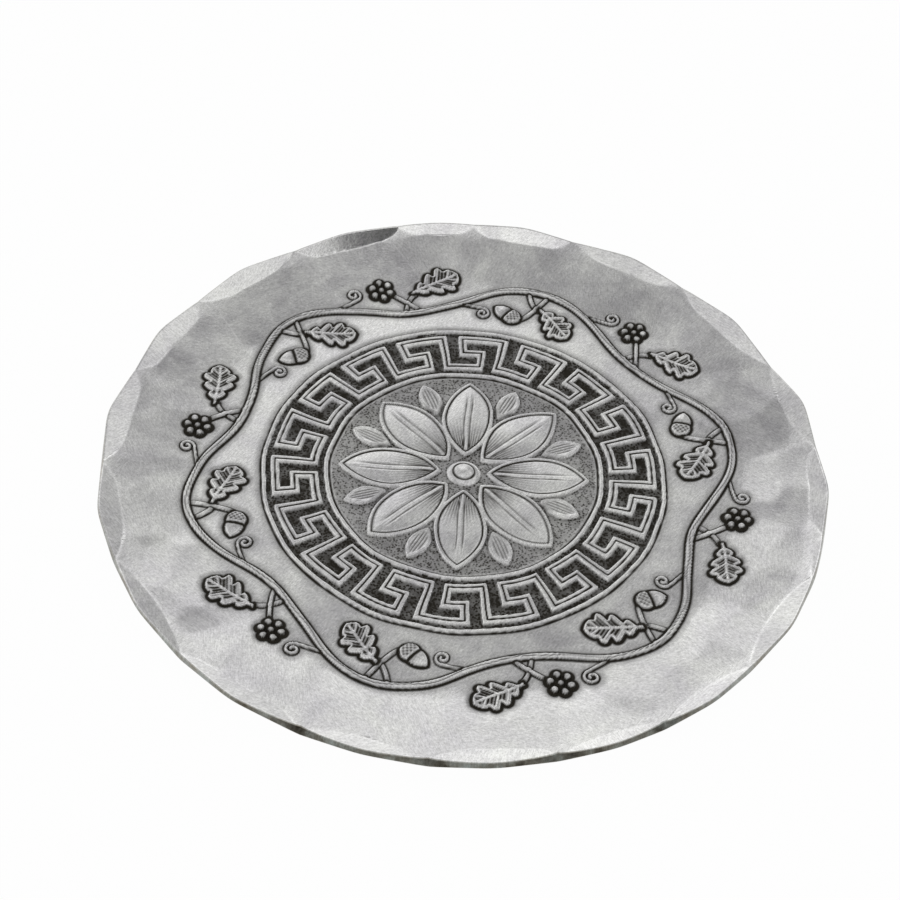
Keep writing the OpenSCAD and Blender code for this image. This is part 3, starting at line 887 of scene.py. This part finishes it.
def sheet_mesh(settings):
    """The dish as one closed mesh: face, rounded cut edge and underside."""
    rng = np.random.default_rng(7)
    n = settings.ring_count
    depth = settings.hammer_depth / MM
    border = blows(rng, BORDER_SPACING, COASTER_R)
    back = blows(rng, BACK_SPACING, COASTER_R)
    share, turn = disc_grid(n)
    reach, mid = outline_reach(turn)
    rim = rim_indices(n)
    rim_turn = turn[rim]
    way = np.stack([np.cos(rim_turn), np.sin(rim_turn)])

    def face(x, y):
        z, flat, seam = sheet_height(x, y)
        marks = planished(x, y, border, BORDER_SPACING, depth)
        share = FLOOR_MARKS + (1 - FLOOR_MARKS) * ease(FLOOR_R - 6, FLOOR_R + 6, np.hypot(x, y))
        return z + marks * share * np.where(flat < FIRST_RIM_FLAT, 1, RIM_FLAT_MARKS), flat, seam

    rings = edge_rings(
        rim_turn, reach[rim], lambda r: face(*way * r)[0],
        lambda r: sheet_height(*way * r, RIM_THINNING_TILT)[0] - SHEET_T,
        settings.edge_round / MM)
    scale = np.interp(turn % TURN, *sorted_pair(rim_turn % TURN, rings[0][0][0]))
    x, y = share * scale * np.cos(turn), share * scale * np.sin(turn)
    z, flat, seam = face(x, y)
    relief = embossing(x, y, rng)
    rows = [np.stack([x, y, z + relief.z - relief.moat], axis=1)]

    # Each flat was struck and rubbed in a direction of its own, and to a slightly different tone
    flat_count = len(CREASES) + len(CUSPS) + 1
    grain_way = rng.uniform(0, math.pi, flat_count)
    flat_tone = rng.uniform(-1, 1, flat_count)
    masks = {
        "patina": [relief.patina], "stipple": [relief.stipple],
        "rim_flat": [(flat >= FIRST_RIM_FLAT).astype(float)], "edge_oxide_and_shade": [np.zeros_like(x)],
        # seam: where a painted highlight runs along the creases between flats, weaker in front
        "seam": [fade(0.05, 0.46, seam) * (1 - 0.7 * in_front(turn))],
        "grain": [(x * np.cos(grain_way[flat]) + y * np.sin(grain_way[flat])) * MM],
        "tone": [softened(flat_tone[flat], 2 * n + 1, 5)],
    }
    for (r, height), cut in rings[1:]:
        rows.append(np.column_stack([way[0] * r, way[1] * r, height]))
        # The cut edge's dark oxide, plus painted shade that is heavier along the front
        masks["edge_oxide_and_shade"].append(cut * (0.72 + 0.28 * in_front(rim_turn)))
        masks["rim_flat"].append(masks["rim_flat"][0][rim] * (1 - cut))
        for key in ("grain", "tone"):
            masks[key].append(masks[key][0][rim])
        for key in ("patina", "stipple", "seam"):
            masks[key].append(np.zeros(len(rim)))

    back_rim = sorted_pair(rim_turn % TURN, rings[-1][0][0] - BACK_INSET)
    x, y, z, patina = underside(n, relief.z, back, back_rim)
    rows.append(np.column_stack([x, y, z]))
    masks["patina"].append(patina)
    masks["grain"].append((x + y) * MM)
    for key in ("stipple", "rim_flat", "edge_oxide_and_shade", "seam", "tone"):
        masks[key].append(np.zeros_like(x))

    starts = np.cumsum([0] + [len(row) for row in rows[:-1]])
    points = np.vstack(rows)
    points[:, :2] -= mid
    points[:, 2] += FLOOR_Z
    masks = {key: np.concatenate(values) for key, values in masks.items()}
    return make_mesh("dish_sheet", points, *sheet_faces(n, rim, starts), masks)


def bumper_mesh(settings, name, lo, hi):
    """A low dome with a flat to rest on, turned about its own axis."""
    steps, around = 18, 64
    top_r, face_r, h = FOOT_D / 2, FOOT_FACE_D / 2, FOOT_H
    dome_z = (top_r**2 - face_r**2 + h * h) / (2 * h)
    ball_r = math.hypot(dome_z, face_r)
    soft = settings.shoulder_round / MM
    start = math.asin(min(1, (face_r + soft * 0.4) / ball_r))
    end = math.asin(top_r / ball_r)
    outline = [
        (0.0, 0.0), (face_r * 0.5, 0.0), (face_r - soft * 0.5, 0.0), (face_r, soft * 0.06)]
    for i in range(steps + 1):
        a = mix(start, end, i / steps)
        outline.append((ball_r * math.sin(a), dome_z - ball_r * math.cos(a)))
    outline += [(top_r * 0.98, h), (0.0, h)]
    cx, cy = (lo[0] + hi[0]) / 2, (lo[1] + hi[1]) / 2
    verts, faces = [], []
    for j in range(around):
        a = TURN * j / around
        for r, z in outline[1:-1]:
            verts.append((cx + r * MM * math.cos(a), cy + r * MM * math.sin(a), z * MM))
    size = len(outline) - 2
    low, high = len(verts), len(verts) + 1
    verts += [(cx, cy, 0.0), (cx, cy, h * MM)]
    for j in range(around):
        k = (j + 1) % around
        faces.append((low, k * size, j * size))
        faces.append((high, j * size + size - 1, k * size + size - 1))
        for i in range(size - 1):
            faces.append((j * size + i, k * size + i, k * size + i + 1, j * size + i + 1))
    mesh = bpy.data.meshes.new(name)
    mesh.from_pydata(verts, [], faces)
    mesh.shade_smooth()
    return mesh


# ---------------------------------------------------------------- materials


class Graph:
    """Adds nodes to a tree. An input is a value or another node's socket."""

    def __init__(self, tree):
        self.tree = tree
        tree.nodes.clear()

    def add(self, kind, inputs=None, **settings):
        node = self.tree.nodes.new(kind)
        for key, value in settings.items():
            setattr(node, key, value)
        for key, value in (inputs or {}).items():
            if isinstance(value, bpy.types.NodeSocket):
                self.tree.links.new(value, node.inputs[key])
            else:
                node.inputs[key].default_value = value
        return node

    def math(self, operation, *values):
        """The operation on one value, or taken through several from left to right."""
        result = values[0]
        for other in values[1:] or [0.0]:
            node = self.add("ShaderNodeMath", {0: result, 1: other}, operation=operation)
            result = node.outputs[0]
        return result

    def blend(self, a, b, share):
        return self.add("ShaderNodeMix", {0: share, 2: a, 3: b}, data_type="FLOAT").outputs[0]

    def blend_colour(self, a, b, share, how="MIX"):
        inputs = {0: share, 6: a, 7: b}
        return self.add("ShaderNodeMix", inputs, data_type="RGBA", blend_type=how).outputs[2]

    def span(self, value, low, high, to_low=0.0, to_high=1.0):
        inputs = {0: value, 1: low, 2: high, 3: to_low, 4: to_high}
        return self.add("ShaderNodeMapRange", inputs).outputs[0]

    def noise(self, place, scale, detail, roughness, distortion=0.0):
        return self.add("ShaderNodeTexNoise", {
            "Vector": place, "Scale": scale, "Detail": detail, "Roughness": roughness,
            "Distortion": distortion}).outputs[0]

    def mottle(self, place, cloud_scale, grain_scale, distortion):
        return self.add("ShaderNodeGroup", {
            "Vector": place, "Cloud Scale": cloud_scale, "Grain Scale": grain_scale,
            "Distortion": distortion}, node_tree=mottle_group()).outputs

    def bump(self, height, strength, distance):
        return self.add("ShaderNodeBump", {
            "Strength": strength, "Distance": distance * MM, "Height": height}).outputs[0]

    def principled(self, **inputs):
        """Ends the material in this shader; an input's name has _ for each space."""
        shader = self.add("ShaderNodeBsdfPrincipled", {
            key.replace("_", " "): value for key, value in inputs.items()})
        self.add("ShaderNodeOutputMaterial", {"Surface": shader.outputs[0]})

    def mask(self, name):
        return self.add("ShaderNodeAttribute", attribute_name=name).outputs["Fac"]


def rgba(colour):
    return (*colour, 1.0)


def mottle_group():
    """Soft clouds and fine grain, as handled surfaces show them. Shared by every finish."""
    name = "cloud_and_grain"
    if name in bpy.data.node_groups:
        return bpy.data.node_groups[name]
    tree = bpy.data.node_groups.new(name, "ShaderNodeTree")
    face = tree.interface
    face.new_socket("Vector", in_out="INPUT", socket_type="NodeSocketVector")
    for key in ("Cloud Scale", "Grain Scale", "Distortion"):
        face.new_socket(key, in_out="INPUT", socket_type="NodeSocketFloat")
    for key in ("Cloud", "Grain"):
        face.new_socket(key, in_out="OUTPUT", socket_type="NodeSocketFloat")
    graph = Graph(tree)
    given = graph.add("NodeGroupInput").outputs
    cloud = graph.noise(given["Vector"], given["Cloud Scale"], 3.0, 0.6, given["Distortion"])
    grain = graph.noise(given["Vector"], given["Grain Scale"], 2.0, 0.7)
    graph.add("NodeGroupOutput", {
        "Cloud": graph.span(cloud, 0.3, 0.7), "Grain": graph.span(grain, 0.25, 0.75)})
    return tree


def new_material(name):
    material = bpy.data.materials.new(name)
    material.use_nodes = True
    return material, Graph(material.node_tree)


def aluminium_material(settings):
    material, graph = new_material("planished_aluminium")
    calc, blend = graph.math, graph.blend
    where = graph.add("ShaderNodeTexCoord").outputs["Object"]
    mottle = graph.mottle(where, cloud_scale=85.0, grain_scale=2300.0, distortion=0.6)
    patches = graph.mottle(where, cloud_scale=260.0, grain_scale=5200.0, distortion=0.2)
    # seam marks the painted highlight along the creases between flats
    patina, stipple, seam = graph.mask("patina"), graph.mask("stipple"), graph.mask("seam")
    rim_flat, edge_oxide_and_shade = graph.mask("rim_flat"), graph.mask("edge_oxide_and_shade")

    # Fine scratches that run round the dish, as the sheet was rubbed down
    x, y, _ = graph.add("ShaderNodeSeparateXYZ", {0: where}).outputs
    turn = calc("ARCTAN2", y, x)
    far = calc("SQRT", calc("ADD", calc("MULTIPLY", x, x), calc("MULTIPLY", y, y)))
    round_way = graph.add("ShaderNodeCombineXYZ", {
        0: calc("MULTIPLY", turn, 14.0), 1: calc("MULTIPLY", far, 2600.0)}).outputs[0]
    rubbed = graph.noise(round_way, 1.0, 2.0, 0.6)

    # Pits of the stippled ground
    pits = graph.add("ShaderNodeTexVoronoi", {"Vector": where, "Scale": 2100.0})
    field = calc("MULTIPLY", stipple, graph.span(pits.outputs["Distance"], 0.15, 0.55))

    # Short strokes along each flat's own direction, broken up by the place
    stroke_place = graph.add("ShaderNodeCombineXYZ", {
        0: calc("MULTIPLY", graph.mask("grain"), 4600.0),
        1: calc("MULTIPLY", x, 900.0), 2: calc("MULTIPLY", y, 900.0)}).outputs[0]
    strokes = graph.span(graph.noise(stroke_place, 1.0, 2.0, 0.65), 0.3, 0.7)

    # Metal: cloudy, slightly varied from flat to flat, brighter on the rim flats where the hammer
    # polished them, and with a painted highlight along the creases between flats
    varied = calc("MULTIPLY", graph.mask("tone"), blend(FLAT_TONE, RIM_FLAT_TONE, rim_flat))
    tone = calc(
        "MULTIPLY", blend(*CLOUD_TONE, mottle["Cloud"]), blend(*GRAIN_TONE, mottle["Grain"]),
        blend(*STROKE_TONE, strokes), calc("ADD", 1.0, varied),
        blend(1.0, POLISH_AND_HIGHLIGHT_TONE, rim_flat), blend(1.0, POLISH_AND_HIGHLIGHT_TONE, seam),
        # The cut edge darkened: partly dark oxide, partly painted shade, heavier in front
        blend(1.0, blend(*EDGE_OXIDE_AND_SHADE_TONE, patches["Cloud"]), edge_oxide_and_shade))
    sheet = graph.blend_colour(
        rgba(settings.cool_colour), rgba(settings.metal_colour), mottle["Cloud"])
    stained = graph.blend_colour(rgba(WARM_STAIN), rgba(COOL_STAIN), patches["Cloud"])
    tinted = graph.blend_colour(sheet, stained, edge_oxide_and_shade)
    metal = graph.blend_colour(tinted, tone, 1.0, "MULTIPLY")
    dark = calc("MULTIPLY", patina, blend(1.0, 1.25, patches["Cloud"]))
    dark = graph.span(
        calc("ADD", dark, calc("MULTIPLY", field, PIT_LIGHTENING)), *PATINA_SPAN)

    rough = blend(settings.roughness - 0.05, settings.roughness + 0.07, mottle["Cloud"])
    rough = calc("ADD", rough, blend(-0.03, 0.03, patches["Grain"]))
    rough = blend(rough, blend(*RIM_ROUGHNESS, patches["Grain"]), rim_flat)
    height = calc("ADD", *(calc("MULTIPLY", mark, share) for mark, share in (
        (mottle["Grain"], 0.9), (rubbed, 0.5), (strokes, 1.2), (patches["Grain"], 0.5),
        (field, 9.0))))
    height = calc("MULTIPLY", height, blend(1.0, 0.35, rim_flat))
    graph.principled(
        Base_Color=graph.blend_colour(metal, rgba(settings.patina_colour), dark),
        Metallic=blend(1.0, 0.85, dark), Roughness=blend(rough, PATINA_ROUGHNESS, dark),
        Normal=graph.bump(height, strength=0.35, distance=0.006))
    return material


def bumper_material(settings):
    material, graph = new_material("clear_bumper")
    where = graph.add("ShaderNodeTexCoord").outputs["Object"]
    mottle = graph.mottle(where, cloud_scale=420.0, grain_scale=3800.0, distortion=0.3)
    dull = rgba([0.8 * c for c in settings.tint])
    graph.principled(
        Base_Color=graph.blend_colour(rgba(settings.tint), dull, mottle["Cloud"]),
        Roughness=graph.blend(0.08, 0.24, graph.math("MULTIPLY", mottle["Cloud"], mottle["Grain"])),
        IOR=1.49, Transmission_Weight=0.9,
        Normal=graph.bump(mottle["Grain"], strength=0.2, distance=0.004))
    return material


def floor_material(settings):
    """White where the camera, metal and glass see it, and still shaded by what stands on it."""
    material, graph = new_material("white_sweep")
    path = graph.add("ShaderNodeLightPath").outputs
    seen = graph.math(
        "MAXIMUM", path["Is Camera Ray"], path["Is Glossy Ray"], path["Is Transmission Ray"])
    paper = graph.add("ShaderNodeBsdfDiffuse", {"Color": rgba(settings.floor_colour)}).outputs[0]
    glow = graph.add("ShaderNodeEmission", {"Color": (1, 1, 1, 1), "Strength": 1.0}).outputs[0]
    share = graph.math("MULTIPLY", seen, FLOOR_GLOW)
    lit = graph.add("ShaderNodeMixShader", {0: share, 1: paper, 2: glow}).outputs[0]
    clear = graph.add("ShaderNodeBsdfTransparent").outputs[0]
    below = graph.add("ShaderNodeNewGeometry").outputs["Backfacing"]
    graph.add("ShaderNodeOutputMaterial", {
        "Surface": graph.add("ShaderNodeMixShader", {0: below, 1: lit, 2: clear}).outputs[0]})
    return material


# ---------------------------------------------------------------- studio


def studio_world():
    """A plain studio of greys, over a white that stands low down and behind all that is seen."""
    world = bpy.data.worlds.new("studio")
    bpy.context.scene.world = world
    world.use_nodes = True
    graph = Graph(world.node_tree)
    way = graph.add("ShaderNodeTexCoord").outputs["Generated"]
    across, _, up = graph.add("ShaderNodeSeparateXYZ", {0: way}).outputs

    def ramp(value, levels):
        node = graph.add("ShaderNodeValToRGB", {0: value})
        points = node.color_ramp.elements
        while len(points) < len(levels):
            points.new(0.5)
        for point, (at, level) in zip(points, levels):
            point.position, point.color = at, (level, level, level, 1)
        return node.outputs[0]

    leaning = graph.math("ADD", up, graph.math("MULTIPLY", across, ROOM_LEAN))
    aside = graph.blend(
        ramp(up, RIGHT_LEVELS), ramp(up, LEFT_LEVELS), graph.span(across, -0.1, 0.1))
    sideways = graph.math(
        "MAXIMUM", graph.span(across, 0.05, 0.2), graph.span(across, -0.12, -0.22))
    level = graph.blend(ramp(leaning, AHEAD_LEVELS), aside, sideways)
    level = graph.math("MULTIPLY", level, graph.span(across, -0.12, 0.0, 1.1, 1.0))
    for place, inner, outer, share in DULL_PLACES:
        node = graph.add("ShaderNodeVectorMath", {0: way, 1: place}, operation="DISTANCE")
        off = node.outputs["Value"]
        level = graph.math("MULTIPLY", level, graph.span(off, inner, outer, share, 1.0))
    room = graph.add("ShaderNodeBackground", {0: level, 1: ROOM_STRENGTH}).outputs[0]
    white = graph.add("ShaderNodeBackground", {0: (1, 1, 1, 1), 1: 1.0}).outputs[0]
    path = graph.add("ShaderNodeLightPath").outputs
    low = graph.math("MULTIPLY", path["Is Glossy Ray"], graph.span(up, *WHITE_TOP))
    seen = graph.math("MAXIMUM", low, path["Is Camera Ray"], path["Is Transmission Ray"])
    graph.add("ShaderNodeOutputWorld", {
        0: graph.add("ShaderNodeMixShader", {0: seen, 1: room, 2: white}).outputs[0]})


def soft_lamp(name, place, size, watts):
    """A round lamp that points at the middle of the coaster."""
    data = bpy.data.lights.new(name, "AREA")
    data.shape, data.size, data.energy = "DISK", size, watts
    lamp = bpy.data.objects.new(name, data)
    bpy.context.scene.collection.objects.link(lamp)
    lamp.location = place
    lamp.rotation_euler = (-Vector(place)).to_track_quat("-Z", "Y").to_euler()


def photograph_camera(settings):
    e, roll = settings.camera_elevation, settings.camera_roll
    forward = Vector((0, math.cos(e), -math.sin(e)))
    right0, up0 = Vector((1, 0, 0)), Vector((0, math.sin(e), math.cos(e)))
    right = right0 * math.cos(roll) + up0 * math.sin(roll)
    up = up0 * math.cos(roll) - right0 * math.sin(roll)
    data = bpy.data.cameras.new("camera")
    data.lens, data.sensor_width = LENS, SENSOR_W
    data.shift_x, data.shift_y = SHIFT_X, SHIFT_Y
    camera = bpy.data.objects.new("camera", data)
    bpy.context.scene.collection.objects.link(camera)
    place = -forward * settings.camera_distance
    rows = Matrix((right, up, -forward)).transposed().to_4x4()
    camera.matrix_world = Matrix.Translation(place) @ rows
    bpy.context.scene.camera = camera


def finished_piece(name, mesh, material, node):
    piece = bpy.data.objects.new(name, mesh)
    bpy.context.scene.collection.objects.link(piece)
    mesh.materials.append(material)
    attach(piece, "root")
    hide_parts(node)


# ---------------------------------------------------------------- operators


class COASTER_OT_dish(bpy.types.Operator):
    """Make the hammered dish with its embossed floor"""

    bl_idname = "coaster.dish"
    bl_label = "Dish"

    def execute(self, context):
        settings = context.scene.coaster_dish
        mesh = sheet_mesh(settings)
        finished_piece("dish_sheet", mesh, aluminium_material(settings), "dish")
        return {"FINISHED"}


class COASTER_OT_bumpers(bpy.types.Operator):
    """Make the four clear bumpers under the dish"""

    bl_idname = "coaster.bumpers"
    bl_label = "Bumpers"

    def execute(self, context):
        settings = context.scene.coaster_bumpers
        material = bumper_material(settings)
        for name in foot_places():
            lo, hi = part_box(name)
            mesh = bumper_mesh(settings, name + "_bumper", lo, hi)
            finished_piece(name + "_bumper", mesh, material, name)
        return {"FINISHED"}


class COASTER_OT_studio(bpy.types.Operator):
    """Make the white sweep, the room's light, the lamp and the camera"""

    bl_idname = "coaster.studio"
    bl_label = "Studio"

    def execute(self, context):
        settings = context.scene.coaster_studio
        mesh = bpy.data.meshes.new("floor")
        corners = [(-1, -1), (1, -1), (1, 1), (-1, 1)]
        places = [(FLOOR_HALF * x, FLOOR_HALF * y, 0) for x, y in corners]
        mesh.from_pydata(places, [], [(0, 1, 2, 3)])
        mesh.materials.append(floor_material(settings))
        floor = bpy.data.objects.new("floor", mesh)
        context.scene.collection.objects.link(floor)
        studio_world()
        soft_lamp("side_lamp", LAMP_PLACE, LAMP_SIZE, LAMP_WATTS)
        photograph_camera(settings)
        context.scene.view_settings.view_transform = "Standard"
        return {"FINISHED"}


class COASTER_PT_parts(bpy.types.Panel):
    """Lists what makes the coaster"""

    bl_idname = "COASTER_PT_parts"
    bl_label = "Coaster"
    bl_space_type = "VIEW_3D"
    bl_region_type = "UI"
    bl_category = "Coaster"

    def draw(self, context):
        for operator, group in (
            (COASTER_OT_dish, context.scene.coaster_dish),
            (COASTER_OT_bumpers, context.scene.coaster_bumpers),
            (COASTER_OT_studio, context.scene.coaster_studio),
        ):
            box = self.layout.box()
            for key in group.__annotations__:
                box.prop(group, key)
            box.operator(operator.bl_idname)


CLASSES = (
    DishSettings, BumperSettings, StudioSettings,
    COASTER_OT_dish, COASTER_OT_bumpers, COASTER_OT_studio, COASTER_PT_parts,
)


def register():
    for cls in CLASSES:
        bpy.utils.register_class(cls)
    bpy.types.Scene.coaster_dish = PointerProperty(type=DishSettings)
    bpy.types.Scene.coaster_bumpers = PointerProperty(type=BumperSettings)
    bpy.types.Scene.coaster_studio = PointerProperty(type=StudioSettings)


def unregister():
    for key in ("coaster_dish", "coaster_bumpers", "coaster_studio"):
        delattr(bpy.types.Scene, key)
    for cls in reversed(CLASSES):
        bpy.utils.unregister_class(cls)


def main():
    register()
    bpy.ops.coaster.studio()
    bpy.ops.coaster.dish()
    bpy.ops.coaster.bumpers()


if __name__ == "__main__":
    main()
